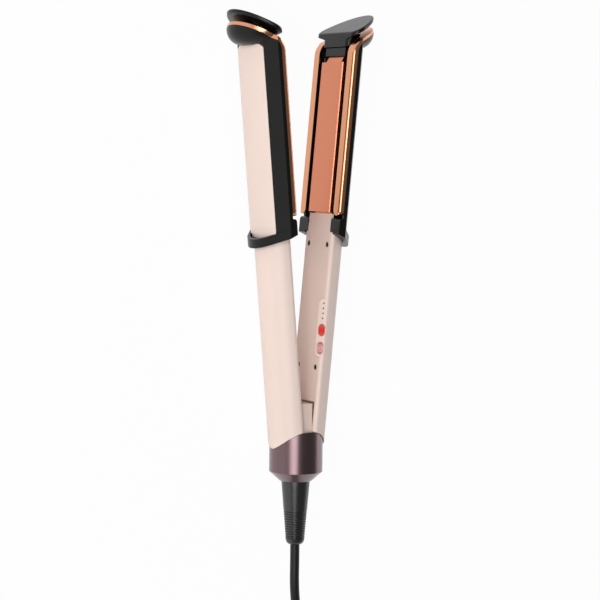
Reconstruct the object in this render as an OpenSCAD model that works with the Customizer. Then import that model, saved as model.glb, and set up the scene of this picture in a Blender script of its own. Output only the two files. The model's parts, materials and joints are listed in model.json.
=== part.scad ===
// Hair straightener: two hinged arms with floating plates, flared tips and a swivel cord.
// Each arm is drawn closed, X outward from the closing plane, Y along the arm from the hinge
// axis, Z along the hinge axis, and is then swung open about the hinge pin.

/* [Arms] */
// Angle that each arm stands open at rest, in degrees
open_angle = 5.3; // [4:0.1:7]
// Radius of the round outside of a handle
handle_r = 17; // [16.5:0.1:18]
// Distance from the closing plane to the handle's flat inner face
handle_flat = 1.7; // [1.4:0.1:2]
// Radius of the edges beside the handle's flat face
handle_fillet = 2.2; // [1.8:0.1:2.6]
// Wall of the handle shell
handle_wall = 1.6; // [1.3:0.1:2]
// Length from the hinge axis to the top of the handle shell
shell_top = 147; // [140:1:155]
// Step from the top of the shell to the shoulder of the inner cover
cover_step = 5.2; // [4:0.1:7]
// Length of the cover's tenon under the plate
tenon_l = 6.5; // [5:0.1:8]
// Width of that tenon
tenon_w = 26; // [22:0.5:26]
// Width of the inner cover
cover_w = 26.6; // [25.6:0.1:27]
// Thickness of the inner cover
cover_t = 2; // [1.6:0.1:2.4]
// Distance from the shell's top down to the upper screws
upper_screw_drop = 8; // [6:0.5:12]
// Distance from the hinge axis to the lower screws
lower_screw_l = 60.4; // [58:0.2:62]
// Spacing across the arm of the upper screws
upper_screw_w = 22.4; // [20:0.1:22.6]
// Spacing across the arm of the lower screws
lower_screw_w = 20.8; // [19:0.1:21]
// Diameter of a screw recess
recess_d = 3.7; // [3.4:0.1:4]

/* [Plates] */
// Width of a heating plate
plate_w = 25.5; // [24:0.1:26]
// Length of a heating plate
plate_l = 96; // [85:1:110]
// Thickness of the plate's face
plate_t = 2.2; // [1.8:0.1:2.6]
// Bevel along the plate's edges
plate_bevel = 0.7; // [0.4:0.1:1]
// Depth that a plate sinks when it is pressed
plate_travel = 0.9; // [0.5:0.1:1]
// Length of the ceramic heater
heater_l = 70; // [60:1:80]
// Width of the ceramic heater
heater_w = 15; // [12:0.5:16]

/* [Housing] */
// Width of the black housing across the arm
housing_w = 49.2; // [48:0.2:50]
// Depth from the closing plane to the back of the housing
housing_back = 12.4; // [12:0.1:13]
// Depth from the closing plane to the housing's rim
rim_depth = 4.2; // [3.8:0.1:4.6]
// Depth at which the housing's sides turn inward
side_depth = 6.5; // [6:0.1:7]
// Wall of the housing
housing_wall = 2; // [1.6:0.1:2.2]
// Width of the outer panel
panel_w = 32; // [30:0.5:33]
// Height of the outer panel's crown over its edges
panel_crown = 1.6; // [1:0.1:2]
// Thickness of the outer panel at its edges
panel_t = 1.2; // [1:0.1:1.4]
// Radius of the collar round the top of the handle
collar_r = 21; // [20.5:0.1:21.5]
// Wall of the collar's lip behind the outer panel
collar_lip = 1.8; // [1.6:0.1:2]
// Width of the collar's band
collar_w = 5.7; // [5:0.1:6.5]
// Tilt of the collar's edges, in degrees
collar_tilt = 21; // [19:0.5:22]

/* [Trim] */
// Width of a trim rail's flat
rail_w = 7.4; // [6:0.1:8]
// Depth from the closing plane to the trim's flat
trim_face = 0.5; // [0.4:0.1:0.9]
// Thickness of the trim
trim_t = 1; // [0.8:0.1:1.2]

/* [Tip] */
// Slope of the tip's cap, in degrees
tip_slope = 32.5; // [30:0.5:35]
// Distance from the plate's end to the front edge of the cap's top
tip_l = 18.7; // [17.5:0.1:20]
// Radius of the flare's bulge
flare_bulge = 10; // [9:0.1:10.5]
// Largest radius of the flare about the closing axis
flare_r = 24.9; // [24.6:0.1:25.2]
// Radius of the cap's round edge
cap_r = 25.5; // [25:0.1:26]
// Thickness of the cap's edge
cap_edge = 2.4; // [2:0.1:3]
// Depth from the cap's top to the copper face under it
cap_to_trim = 6.5; // [6:0.1:7]
// Depth from the cap's top to the housing's rim
cap_to_rim = 9; // [8.5:0.1:9.6]

/* [Controls] */
// Width of the control panel
pill_w = 7.7; // [7.5:0.1:8]
// Length of the control panel
pill_l = 37.6; // [37:0.2:40]
// Distance from the hinge axis to the control panel's lower end
pill_start = 67; // [67:0.5:70]
// Tilt of the control panel away from the handle's flat face, in degrees
pill_tilt = 21.5; // [20:0.5:23]
// Width of a button
button_w = 5; // [4.6:0.1:5.2]
// Length of a button
button_l = 7.7; // [7:0.1:7.9]
// Distance between the two buttons
button_pitch = 11.5; // [11.2:0.1:12]
// Travel of a button
button_travel = 0.4; // [0.3:0.05:0.5]
// Diameter of an indicator window
indicator_d = 1.1; // [0.8:0.1:1.3]

/* [Base] */
// Radius of the base cup
cup_r = 17.2; // [17:0.1:18]
// Wall of the base cup
cup_wall = 1.8; // [1.5:0.1:2]
// Length of the cup's straight side under the hinge axis
cup_drop = 7.6; // [7.2:0.1:8.5]
// Height of the cup's chamfer
cup_chamfer = 6; // [5.5:0.1:6.5]
// Radius about the hinge pin of the curved parting line
parting_r = 19.1; // [18.9:0.1:19.5]
// Gap between the cup and the handles
parting_gap = 0.4; // [0.3:0.05:0.6]
// Height of the tongue between the handles above the hinge axis
tongue_top = 37; // [35:0.5:40]

/* [Hinge] */
// Diameter of the hinge pin
pin_d = 4; // [3.6:0.1:4.4]
// Diameter of a hinge knuckle
knuckle_d = 10; // [9.6:0.1:10]
// Length of each inner knuckle
inner_knuckle_l = 3; // [2.5:0.1:3.2]
// Length of each outer knuckle
outer_knuckle_l = 5.3; // [4.8:0.1:5.3]
// Thickness of the hinge brackets
bracket_t = 2; // [1.6:0.1:2.2]
// Diameter of the opening spring's wire
spring_wire = 1; // [0.8:0.05:1.1]

/* [Cord] */
// Diameter of the mains cord
cord_d = 6; // [5.5:0.5:6.5]
// Length of the strain relief below the cup
relief_l = 41.5; // [36:0.5:45]
// Radius of the strain relief where it leaves the cup
relief_r = 9.2; // [8.8:0.1:9.4]
// Distance between the plug's pins
plug_pitch = 19; // [18.6:0.1:19]
// Diameter of a plug pin
plug_pin_d = 4; // [4:0.1:4.8]

/* [Hidden] */
$fn = 96;

// Colours
PINK = [0.93, 0.84, 0.79];
BLACK = [0.13, 0.13, 0.13];
COPPER = [0.82, 0.52, 0.38];
MAUVE = [0.42, 0.33, 0.36];
STEEL = [0.7, 0.7, 0.72];
CERAMIC = [0.9, 0.89, 0.85];

// Small working values
LEFT = -1;
RIGHT = 1;
eps = 0.01;
far = 400;
fit = 0.15;
running = 0.03;
corner_lap = 0.2;

// Handle and cover
handle_cut_r = parting_r + parting_gap;
ledge_depth = handle_flat + cover_t + 1.5;
cover_top = shell_top + cover_step;
cover_start = tongue_top + 1.5;
slot_w = cover_w + 2 * fit;
ledge_opening_w = cover_w - 2.6;
screw_head_d = recess_d - 0.3;
screw_shank_d = 2;
screw_head_depth = 1.3;
screw_boss_d = 5.2;
screw_end = 10.2;
upper_screw_l = shell_top - upper_screw_drop;
shell_tenon_w = tenon_w - 2;

// Plates
plate_start = cover_top + tenon_l + 0.9;
plate_end = plate_start + plate_l;
leg_depth = 6;
leg_t = 1.6;
leg_gap = 0.3;
heater_t = 2.2;
tab_gap = 0.3;
tab_t = 1;
lower_tab_w = 20;
upper_tab_w = 18;
carrier_floor = leg_depth + plate_travel + 0.5;
carrier_t = 1.4;
carrier_wall_t = 1.3;
carrier_w = 2 * (plate_w / 2 + 0.5 + carrier_wall_t);

// Housing section
half_w = housing_w / 2;
panel_floor = housing_back - panel_t;
facet_l = norm([housing_back - side_depth, half_w - panel_w / 2]);
facet_nx = (half_w - panel_w / 2) / facet_l;
facet_ny = (housing_back - side_depth) / facet_l;
facet_d = side_depth * facet_nx + half_w * facet_ny;
panel_curve_r = (pow(panel_w / 2, 2) + pow(panel_crown, 2)) / (2 * panel_crown);
ear_top = cover_top + 4;
channel_start = shell_top + 0.3;
bulkhead_t = 1.5;
collar_slope = tan(collar_tilt);
collar_low = shell_top - 0.4;
collar_high = collar_low + collar_w;
shell_seat = collar_low + 1.5;
bulkhead_low = shell_seat + 0.2;
recess_low = bulkhead_low + 1;
panel_edge = recess_low + 0.2;
ear_start = shell_top - 5;
ear_depth = handle_flat - 0.2;
ear_corner = 2;
panel_start = channel_start + bulkhead_t;
panel_low = panel_edge - (housing_back + panel_crown) * collar_slope;
panel_corner = 5;
panel_arch_r = 30;
panel_shoulder = 7;

// Tip
cap_flat = 0.5;
cap_fillet = 5;
tip_front = plate_end + tip_l;
slope_rise = tan(tip_slope);
flare_centre_l = tip_front + 1.2;
panel_top = flare_centre_l - panel_shoulder;
trim_corner = 11;
rim_corner = 8;
neck_r = 16.5;
neck_fillet = 3;
neck_flat = 1;
neck_depth = cap_to_trim + 1.3;
neck_start = slanted(neck_flat, neck_depth);
block_w = 23.2;
block_l = 5;

// Hinge
knuckle_gap = 0.3;
spring_half = 2.1;
inner_from = spring_half + knuckle_gap;
inner_to = inner_from + inner_knuckle_l;
outer_from = inner_to + knuckle_gap;
outer_to = outer_from + outer_knuckle_l;
cheek_from = outer_to + 0.5;
leaf_depth = knuckle_d / 2 + 0.6;
tongue_h = slot_w / 2 - 0.35;
tongue_half = handle_flat + tongue_top * sin(open_angle) - 0.1;
tongue_low_half = 4;
tongue_low = 11;
cup_inner_r = cup_r - cup_wall;
cup_bottom = -cup_drop - cup_chamfer;
cup_chamfer_r = 6.6;
retainer_t = 1.2;
retainer_top = -knuckle_d / 2 - 1;
flange_t = 4.3;
flange_r = 10.9;
swivel_floor = cup_bottom + 1.5;
relief_end = cup_bottom - relief_l;

// Place of the whole tool: it lies on its lower side, centred along its length
cap_side = sqrt(pow(cap_r - cap_fillet, 2) - pow(cap_flat + cap_fillet, 2)) + cap_fillet;
tip_y = (tip_front + (cap_r - cap_flat) * slope_rise) * cos(open_angle) - cap_r * sin(open_angle);
pivot_y = -(tip_y + relief_end) / 2;
axis_z = max(cap_side, half_w);

// Control panel
pill_depth = handle_flat + 1.4;
pill_side = handle_r - 5.1;
pill_t = 2.2;
pill_seat = 0.5;
pill_centre = pill_start + pill_l / 2;
power_l = pill_start + 5.9;
mode_l = power_l + button_pitch;
indicators = 4;
first_indicator_l = mode_l + button_l / 2 + 3.65;
last_indicator_l = pill_start + pill_l - 3.1;
indicator_pitch = (last_indicator_l - first_indicator_l) / (indicators - 1);
board_depth = 5;
board_t = 1.2;
board_w = 8;
board_shift = -2;
button_flange = 0.6;
button_gap = 0.15;
button_proud = 0.3;

// Cord route: straight out, down to the floor, and into a tied hank in line with the tool
cord_r = cord_d / 2;
exit_y = pivot_y + relief_end;
lead = [
    [0, exit_y, axis_z], [0, -183, axis_z], [0, -196, axis_z], [1.5, -208, 23.6], [4.1, -216, 21.7],
    [8, -224, 18.7], [13.2, -232, 14.7], [18.9, -240, 10.4], [23.3, -248, 7.1], [26.4, -256, 4.7],
    [28.2, -264, 3.4], [28.7, -272, 3], [28.7, -283, 3]
];
tail = [
    [28.7, -385, 9.5], [28.7, -391, 9.5], [28.7, -398, 8.9], [28.7, -405, 7.7], [28.7, -412, 6.9],
    [28.7, -419, 6.9]
];
plug_at = [28.7, -419, 6.9];

// Hank: it winds inward on the floor, climbs along a run, winds outward and leaves on top
hank_x = -10;
hank_near = -289;
hank_run = 90;
hank_inner_r = 18;
hank_step = 6.9;
hank_loops = 3;
hank_rise = 6.5;
hank_waist = 8;
hank_lift = 1.3;
hank_lead = 6;
run_rings = 4;
bend_rings = 8;
loop_rings = 2 * (run_rings + bend_rings);
climb_start = hank_loops * loop_rings;
climb_end = climb_start + run_rings;
hank_end = climb_end + hank_loops * loop_rings;
tie_w = 8;
tie_t = 0.9;
tie_slack = 1.3;

// Distance of a ring's run from the hank's middle line, and its height
function hank_r(i) = hank_inner_r + hank_step / loop_rings
    * (i < climb_start ? climb_start - i : max(0, i - climb_end));
function hank_z(i) = cord_r + hank_rise
    * (1 - cos(180 * min(max((i - climb_start) / run_rings, 0), 1))) / 2;
function waist(t) = (1 - cos(360 * t)) / 2;
function hank_ring(i) =
    let (
        r = hank_r(i),
        k = i % loop_rings,
        there = k <= run_rings,
        back = k >= run_rings + bend_rings && k <= 2 * run_rings + bend_rings,
        t = there ? k / run_rings : (k - run_rings - bend_rings) / run_rings,
        turn = there ? 0 : 180 * (k - run_rings - (k > run_rings + bend_rings ? run_rings : 0))
            / bend_rings,
        end_y = turn < 180 ? hank_near - hank_run : hank_near
    )
    there ? [r - hank_waist * waist(t), hank_near - hank_run * t, hank_z(i) + hank_lift * waist(t)]
    : back ? [hank_waist * waist(t) - r, hank_near - hank_run * (1 - t),
        hank_z(i) + hank_lift * waist(t)]
    : [r * cos(turn), end_y - r * sin(turn), hank_z(i)];
hank = [for (p = concat(
    [hank_ring(0) + [0, hank_lead, 0]],
    [for (i = [0:hank_end]) hank_ring(i)],
    [hank_ring(hank_end) - [0, hank_lead, 0]]
)) p + [hank_x, 0, 0]];

// Least gap between the hank's turns, from its rings to its pieces half a loop away or more
function from_piece(p, a, b) =
    let (t = min(max((p - a) * (b - a) / ((b - a) * (b - a)), 0), 1)) norm(p - a - t * (b - a));
hank_gap = min([for (i = [0:len(hank) - 1], j = [0:len(hank) - 2])
    if (abs(i - j) > loop_rings / 2) from_piece(hank[i], hank[j], hank[j + 1])]) - cord_d;
function route_length(points) =
    [for (i = [1:len(points) - 1]) norm(points[i] - points[i - 1])] * [for (i = [1:len(points) - 1]) 1];
echo(least_gap_in_hank = hank_gap);
echo(cord_length = route_length(lead) + route_length(hank) + route_length(tail));

// Shared shapes

// Places a closed arm's pieces on the open tool
module arm(side) {
    translate([0, pivot_y, axis_z]) rotate([0, 0, -side * open_angle])
        if (side == RIGHT) children();
        else mirror([1, 0, 0]) children();
}

// Places a piece of the base
module base() {
    translate([0, pivot_y, axis_z]) children();
}

// Extrudes a cross-section along the arm
module along(from, to) {
    translate([0, from, 0]) rotate([-90, 0, 0]) linear_extrude(to - from) children();
}

// Turns a profile of radius and length about the arm's closing axis
module revolve() {
    rotate([-90, 0, 0]) rotate_extrude() children();
}

// Extrudes a side view of depth and length across the arm
module across(width) {
    translate([0, 0, -width / 2]) linear_extrude(width) children();
}

// Box from one depth and length to another, centred across the arm
module block(depth, from, width) {
    translate([depth[0], from[0], -width / 2])
        cube([depth[1] - depth[0], from[1] - from[0], width]);
}

// Cylinder through an arm's thickness
module bore(l, h, from, to, d) {
    translate([from, l, h]) rotate([0, 90, 0]) cylinder(h = to - from, d = d, $fn = 32);
}

// Circle with one flat side towards the closing plane and rounded corners, whose parts lap by a
// little so that they never just touch
module d_outline(r, flat, fillet) {
    corner = sqrt(pow(r - fillet, 2) - pow(flat + fillet, 2));
    meet = (flat + fillet) * r / (r - fillet) - corner_lap;
    intersection() {
        circle(r);
        translate([meet, -r]) square([2 * r, 2 * r]);
    }
    translate([flat, -corner]) square([meet - flat + eps, 2 * corner]);
    for (side = [-1, 1]) translate([flat + fillet, side * corner]) circle(fillet - eps);
}

// Rounded slot outline
module stadium(width, length) {
    square([width, length - width], center = true);
    for (side = [-1, 1]) translate([0, side * (length - width) / 2]) circle(d = width);
}

// Length along the arm of the slanted plane at a depth under the cap's top
function slanted(depth, drop) =
    tip_front + (depth - cap_flat) * slope_rise - drop / cos(tip_slope);

// Side view of all that lies behind a straight edge and under a slanted one, corner rounded
module edge_side(from, drop, corner) {
    centre = [from + corner, slanted(from + corner, drop) - corner / cos(tip_slope)];
    steps = 8;
    arc = [for (i = [0:steps])
        let (a = 180 - i / steps * (90 - tip_slope))
        centre + corner * [cos(a), sin(a)]];
    polygon(concat([[from, 0]], arc, [[40, slanted(40, drop)], [40, 0]]));
}

// Cross-section of the housing's outside, drawn in by an inset
function facet_depth(inset) = (facet_d - inset - (half_w - inset) * facet_ny) / facet_nx;
function facet_side(inset, back) = (facet_d - inset - back * facet_nx) / facet_ny;
module channel_outline(inset, back, from) {
    side = half_w - inset;
    turn = facet_depth(inset);
    edge = facet_side(inset, back);
    polygon([[from, -side], [turn, -side], [back, -edge], [back, edge], [turn, side], [from, side]]);
}

// Flared tip, a bulge turned about the closing axis
module flare(inset) {
    centre = [flare_r - flare_bulge, flare_centre_l];
    r = flare_bulge - inset;
    bulge = [for (a = [-90:10:90]) centre + r * [cos(a), sin(a)]];
    revolve() polygon(concat([[0, centre[1] - r]], bulge, [[0, centre[1] + r]]));
}

// Outside of the housing and tip, before its rim is cut
module arm_body(inset) {
    along(channel_start, slanted(housing_back, 0)) channel_outline(inset, housing_back - inset, 0);
    flare(inset);
}

// Collar's cross-section: round at the back, with flanks that run to the housing's sides
module collar_outline(r) {
    reach = norm([side_depth, half_w]);
    tangent = atan2(half_w, side_depth) - acos(r / reach);
    touch = r * [cos(tangent), sin(tangent)];
    intersection() {
        circle(r);
        translate([handle_flat, -r]) square([r, 2 * r]);
    }
    polygon([
        [ear_depth, -half_w], [side_depth, -half_w], [touch[0], -touch[1]],
        touch, [side_depth, half_w], [ear_depth, half_w]
    ]);
}

// Half space above a plane that falls away towards the back of the arm
module above_collar_edge(l) {
    translate([0, l, 0]) rotate([0, 0, -atan(collar_slope)])
        translate([-50, 0, -50]) cube([100, far, 100]);
}

// What lies above such a plane behind the housing's floor
module behind_floor(l) {
    intersection() {
        above_collar_edge(l);
        translate([panel_floor - housing_wall, 0, -40]) cube([40, far, 80]);
    }
}

// Handles

module handle_hollow() {
    inner_r = handle_r - handle_wall;
    intersection() {
        circle(inner_r);
        translate([ledge_depth, -inner_r]) square([inner_r, 2 * inner_r]);
    }
    translate([0, -slot_w / 2]) square([handle_flat + cover_t, slot_w]);
    translate([handle_flat, -ledge_opening_w / 2])
        square([ledge_depth - handle_flat + eps, ledge_opening_w]);
}

module screw_places() {
    for (side = [-1, 1]) {
        translate([0, lower_screw_l, side * lower_screw_w / 2]) children();
        translate([0, upper_screw_l, side * upper_screw_w / 2]) children();
    }
}

// Bosses in the shell, one for each screw, clipped to the round wall
module shell_bosses() {
    intersection() {
        union() {
            for (up = [-1, 1]) {
                bore(lower_screw_l, up * lower_screw_w / 2, leaf_depth + bracket_t, handle_r,
                    screw_boss_d);
                bore(upper_screw_l, up * upper_screw_w / 2, handle_flat + cover_t, handle_r,
                    screw_boss_d);
            }
        }
        along(0, shell_top) circle(handle_r - handle_wall / 2);
    }
}

// Pocket for the control panel, cut from the handle's corner, and the window under it
module pill_pocket() {
    on_panel(pill_centre) {
        translate([0, 0, -pill_t - eps])
            linear_extrude(12) stadium(pill_w + 2 * fit, pill_l + 2 * fit);
        translate([0, 0, -board_depth - board_t]) linear_extrude(board_depth + board_t)
            stadium(pill_w - 2 * pill_seat, pill_l - 2 * pill_seat);
    }
}

module handle_shell(side) {
    tenon_depth = [carrier_floor, panel_floor - housing_wall];
    color(PINK) arm(side) difference() {
        union() {
            difference() {
                along(0, shell_top) d_outline(handle_r, handle_flat, handle_fillet);
                along(-1, shell_top + 1) handle_hollow();
                for (up = [-1, 1])
                    bore(lower_screw_l, up * lower_screw_w / 2, handle_flat, leaf_depth,
                        screw_boss_d + 2 * fit);
            }
            shell_bosses();
            block(tenon_depth, [ear_start - 5, ear_top], shell_tenon_w);
        }
        cylinder(h = 60, r = handle_cut_r, center = true);
        block([0, tongue_half + 0.6], [0, cover_start], slot_w);
        behind_floor(shell_seat);
        screw_places() rotate([0, 90, 0])
            cylinder(h = screw_end + 0.3, d = screw_shank_d + 2 * running, $fn = 32);
        if (side == RIGHT) pill_pocket();
    }
}

module handle_cover(side) {
    color(PINK) arm(side) difference() {
        union() {
            block([handle_flat, handle_flat + cover_t], [cover_start, cover_top], cover_w);
            block([handle_flat, handle_flat + cover_t], [cover_top - eps, cover_top + tenon_l],
                tenon_w);
            for (up = [-1, 1])
                bore(lower_screw_l, up * lower_screw_w / 2, handle_flat + cover_t - eps,
                    leaf_depth, screw_boss_d);
        }
        screw_places() rotate([0, 90, 0])
            cylinder(h = handle_flat + screw_head_depth, d = recess_d, $fn = 32);
        screw_places() rotate([0, 90, 0])
            cylinder(h = leaf_depth + 1, d = screw_shank_d + 0.4, $fn = 32);
        if (side == RIGHT) pill_pocket();
    }
}

module cover_screws(side) {
    head_t = 1;
    color(STEEL) arm(side) screw_places() rotate([0, 90, 0]) {
        translate([0, 0, handle_flat + screw_head_depth - head_t]) difference() {
            cylinder(h = head_t, d = screw_head_d, $fn = 32);
            translate([0, 0, -eps]) cylinder(h = 0.6, d = 1.4, $fn = 6);
        }
        translate([0, 0, handle_flat + screw_head_depth - eps])
            cylinder(h = screw_end - handle_flat - screw_head_depth, d = screw_shank_d, $fn = 32);
    }
}

// Hinge

// Sheet-steel leaf screwed inside the handle, with two knuckles round the pin
module hinge_bracket(side, from, to) {
    leaf = [leaf_depth, leaf_depth + bracket_t];
    leaf_w = 2 * outer_to;
    wide = 2 * (cheek_from + 1.3);
    color(STEEL) arm(side) difference() {
        union() {
            block(leaf, [-4, lower_screw_l - 12], leaf_w);
            block(leaf, [lower_screw_l - 12 - eps, lower_screw_l + 5.2], wide);
            for (up = [-1, 1])
                translate([0, 0, up * (from + to) / 2 - (to - from) / 2]) {
                    cylinder(h = to - from, d = knuckle_d);
                    translate([0, -4, 0]) cube([leaf_depth + eps, 8, to - from]);
                }
        }
        cylinder(h = 60, d = pin_d + 2 * running, center = true, $fn = 64);
        screw_places() rotate([0, 90, 0])
            cylinder(h = 20, d = screw_shank_d + 0.4, $fn = 32);
    }
}

module hinge_block() {
    cheek = [cheek_from, tongue_h];
    color(PINK) base() difference() {
        union() {
            intersection() {
                across(2 * tongue_h) polygon([
                    [-tongue_low_half, tongue_low], [tongue_low_half, tongue_low],
                    [tongue_half, tongue_top - 1], [tongue_half - 1, tongue_top],
                    [1 - tongue_half, tongue_top], [-tongue_half, tongue_top - 1]
                ]);
                along(0, tongue_top + 1) polygon([
                    [-tongue_half, 1.2 - tongue_h], [1.2 - tongue_half, -tongue_h],
                    [tongue_half - 1.2, -tongue_h], [tongue_half, 1.2 - tongue_h],
                    [tongue_half, tongue_h - 1.2], [tongue_half - 1.2, tongue_h],
                    [1.2 - tongue_half, tongue_h], [-tongue_half, tongue_h - 1.2]
                ]);
            }
            for (up = [-1, 1])
                translate([-tongue_low_half + 1, retainer_top, up > 0 ? cheek[0] : -cheek[1]])
                    cube([2 * tongue_low_half - 2, tongue_low - retainer_top + 1,
                        cheek[1] - cheek[0]]);
        }
        cylinder(h = 60, d = pin_d + 0.02, center = true, $fn = 64);
    }
}

module hinge_pin() {
    reach = sqrt(pow(cup_inner_r, 2) - pow(pin_d / 2, 2)) - 0.05;
    color(STEEL) base() cylinder(h = 2 * reach, d = pin_d, center = true, $fn = 64);
}

// Torsion spring: coil round the pin, with a leg behind each bracket
module opening_spring() {
    coil_r = pin_d / 2 + 0.5 + spring_wire / 2;
    turns = 2.5;
    steps = 12 * turns;
    rise = (spring_wire + 0.15) * turns;
    leg_tip = [leaf_depth - spring_wire / 2 - 0.5, tongue_low - 2];
    coil = [for (i = [0:steps])
        let (a = 360 * turns * i / steps)
        [coil_r * cos(a), -coil_r * sin(a), rise * (i / steps - 0.5)]];
    color(STEEL) base() tube(concat(
        [[leg_tip[0], leg_tip[1], -rise / 2]], coil, [[-leg_tip[0], leg_tip[1], rise / 2]]
    ), spring_wire / 2, 8);
}

// Base

module base_cup() {
    color(MAUVE) base() intersection() {
        revolve() polygon([
            [relief_r + 0.4, cup_bottom], [cup_r - cup_chamfer_r, cup_bottom], [cup_r, -cup_drop],
            [cup_r, parting_r + 5], [cup_inner_r, parting_r + 5],
            [cup_inner_r, retainer_top - retainer_t], [flange_r + 0.3, retainer_top - retainer_t],
            [flange_r + 0.3, swivel_floor], [relief_r + 0.4, swivel_floor]
        ]);
        union() {
            cylinder(h = 60, r = parting_r, center = true);
            translate([-30, -30, -30]) cube([60, 30, 60]);
        }
    }
}

module swivel_retainer() {
    color(STEEL) base() revolve() translate([4, retainer_top - retainer_t])
        square([cup_inner_r - 4.05, retainer_t]);
}

// Relief turns in the cup on its flange: a smooth taper, then rings down to the cord
function relief_taper(t) = relief_r - 3.4 * t;
module strain_relief() {
    rib_start = cup_bottom - 20;
    ribs = 11;
    shoulder_l = 4;
    shoulder_start = relief_end + shoulder_l;
    pitch = (rib_start - shoulder_start - 0.8) / ribs;
    groove = 0.45;
    ring_points = [for (i = [0:ribs - 1], k = [0:3])
        let (
            top = rib_start - i * pitch,
            l = k < 2 ? top : top - pitch * 0.4,
            out = relief_taper((cup_bottom - l) / relief_l)
        )
        [k == 1 || k == 2 ? out - groove : out, l]];
    shoulder_r = relief_taper((cup_bottom - shoulder_start) / relief_l);
    tip_r = cord_r + 0.5;
    shoulder = [for (a = [0:15:90])
        [tip_r + (shoulder_r - tip_r) * cos(a), shoulder_start - shoulder_l * sin(a)]];
    color(BLACK) base() revolve() polygon(concat(
        [
            [0, relief_end], [0, retainer_top - retainer_t - 0.3],
            [flange_r, retainer_top - retainer_t - 0.3], [flange_r, swivel_floor + 0.2],
            [relief_r, swivel_floor + 0.2], [relief_r, cup_bottom]
        ],
        ring_points, shoulder
    ));
}

// Plates

module plate(side) {
    half = plate_w / 2;
    lower_tab = handle_flat + cover_t + tab_gap;
    upper_tab = neck_flat + 1 + tab_t + tab_gap;
    color(COPPER) arm(side) {
        along(plate_start, plate_end) {
            polygon([
                [0, plate_bevel - half], [plate_bevel, -half], [plate_t, -half],
                [plate_t, half], [plate_bevel, half], [0, half - plate_bevel]
            ]);
            for (up = [-1, 1])
                translate([plate_t - eps, up * (heater_w / 2 + leg_gap + leg_t / 2) - leg_t / 2])
                    square([leg_depth - plate_t, leg_t]);
        }
        block([plate_t - eps, lower_tab + tab_t], [plate_start, plate_start + 2], lower_tab_w);
        block([lower_tab, lower_tab + tab_t], [plate_start - 3.5, plate_start + 1], lower_tab_w);
        block([plate_t - eps, upper_tab + tab_t], [plate_end - 2, plate_end], upper_tab_w);
        across(upper_tab_w) polygon([
            [1.2, plate_end - eps], [upper_tab, plate_end + 4], [upper_tab, plate_end + 6.5],
            [upper_tab + tab_t, plate_end + 6.5], [upper_tab + tab_t, plate_end - eps]
        ]);
    }
}

module heater(side) {
    middle = (plate_start + plate_end) / 2;
    color(CERAMIC) arm(side)
        block([plate_t, plate_t + heater_t], [middle - heater_l / 2, middle + heater_l / 2],
            heater_w);
}

module thermal_fuse(side) {
    fuse_r = 0.9;
    middle = (plate_start + plate_end) / 2;
    color(STEEL) arm(side) translate([plate_t + heater_t + fuse_r, middle - 6, 0])
        rotate([-90, 0, 0]) cylinder(h = 12, r = fuse_r, $fn = 32);
}

// Carrier behind the plate: floor, guide walls and the upper stop that traps the plate's tab
module plate_carrier(side) {
    floor_depth = [carrier_floor, carrier_floor + carrier_t];
    wall_depth = [3, carrier_floor + eps];
    stop = plate_end + 4.2;
    color(BLACK) arm(side) difference() {
        union() {
            block(floor_depth, [cover_top + 4.5, stop + block_l], carrier_w);
            for (up = [-1, 1])
                translate([wall_depth[0], plate_start + 0.2,
                    up * (carrier_w - carrier_wall_t) / 2 - carrier_wall_t / 2])
                    cube([wall_depth[1] - wall_depth[0], plate_l + 3, carrier_wall_t]);
            block([neck_flat + 1, carrier_floor + eps], [stop, stop + block_l], block_w);
            for (l = [plate_start + 12, plate_end - 12])
                bore(l, 0, floor_depth[1] - eps, panel_floor - housing_wall, 6);
        }
        block([neck_flat + 1 + tab_t, carrier_floor], [stop - 1, stop + 3], upper_tab_w + 1);
    }
}

// Silicone pads under the plate's legs
module plate_cushions(side) {
    pad = [leg_depth + 0.02, carrier_floor];
    color([0.8, 0.35, 0.25]) arm(side)
        for (l = [plate_start + 8, plate_end - 14], up = [-1, 1])
            translate([pad[0] + plate_travel, l,
                up * (heater_w / 2 + leg_gap + leg_t / 2) - leg_t / 2])
                cube([pad[1] - pad[0] - plate_travel, 6, leg_t]);
}

// Housing and panel

module housing(side) {
    color(BLACK) arm(side) difference() {
        union() {
            intersection() {
                arm_body(0);
                across(60) edge_side(rim_depth, cap_to_rim, rim_corner);
            }
            intersection() {
                union() {
                    difference() {
                        along(collar_low - collar_r, collar_high) collar_outline(collar_r);
                        above_collar_edge(collar_high);
                    }
                    ears();
                }
                above_collar_edge(collar_low);
            }
        }
        difference() {
            along(0, channel_start) d_outline(handle_r + fit, handle_flat - 5, handle_fillet);
            behind_floor(bulkhead_low);
        }
        along(0, cover_top + tenon_l) translate([-10, -tenon_w / 2 - 0.8])
            square([10 + carrier_floor, tenon_w + 1.6]);
        difference() {
            along(panel_start, far)
                channel_outline(housing_wall, panel_floor - housing_wall, -5);
            ears();
        }
        along(channel_start - eps, panel_start + eps) translate([0, -shell_tenon_w / 2 - 0.2])
            square([panel_floor - housing_wall, shell_tenon_w + 0.4]);
        flare(housing_wall);
        panel_recess();
    }
}

// Ears beside the inner cover, up to the ends of the trim rails, with rounded front corners
module ears() {
    corner = [for (a = [180:-15:90])
        [ear_depth + ear_corner, ear_top - ear_corner] + ear_corner * [cos(a), sin(a)]];
    for (up = [-1, 1])
        translate([0, 0, up > 0 ? tenon_w / 2 : -half_w]) linear_extrude(half_w - tenon_w / 2)
            polygon(concat(
                [[side_depth, ear_start], [ear_depth, ear_start]], corner,
                [[side_depth, ear_top]]
            ));
}

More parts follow.
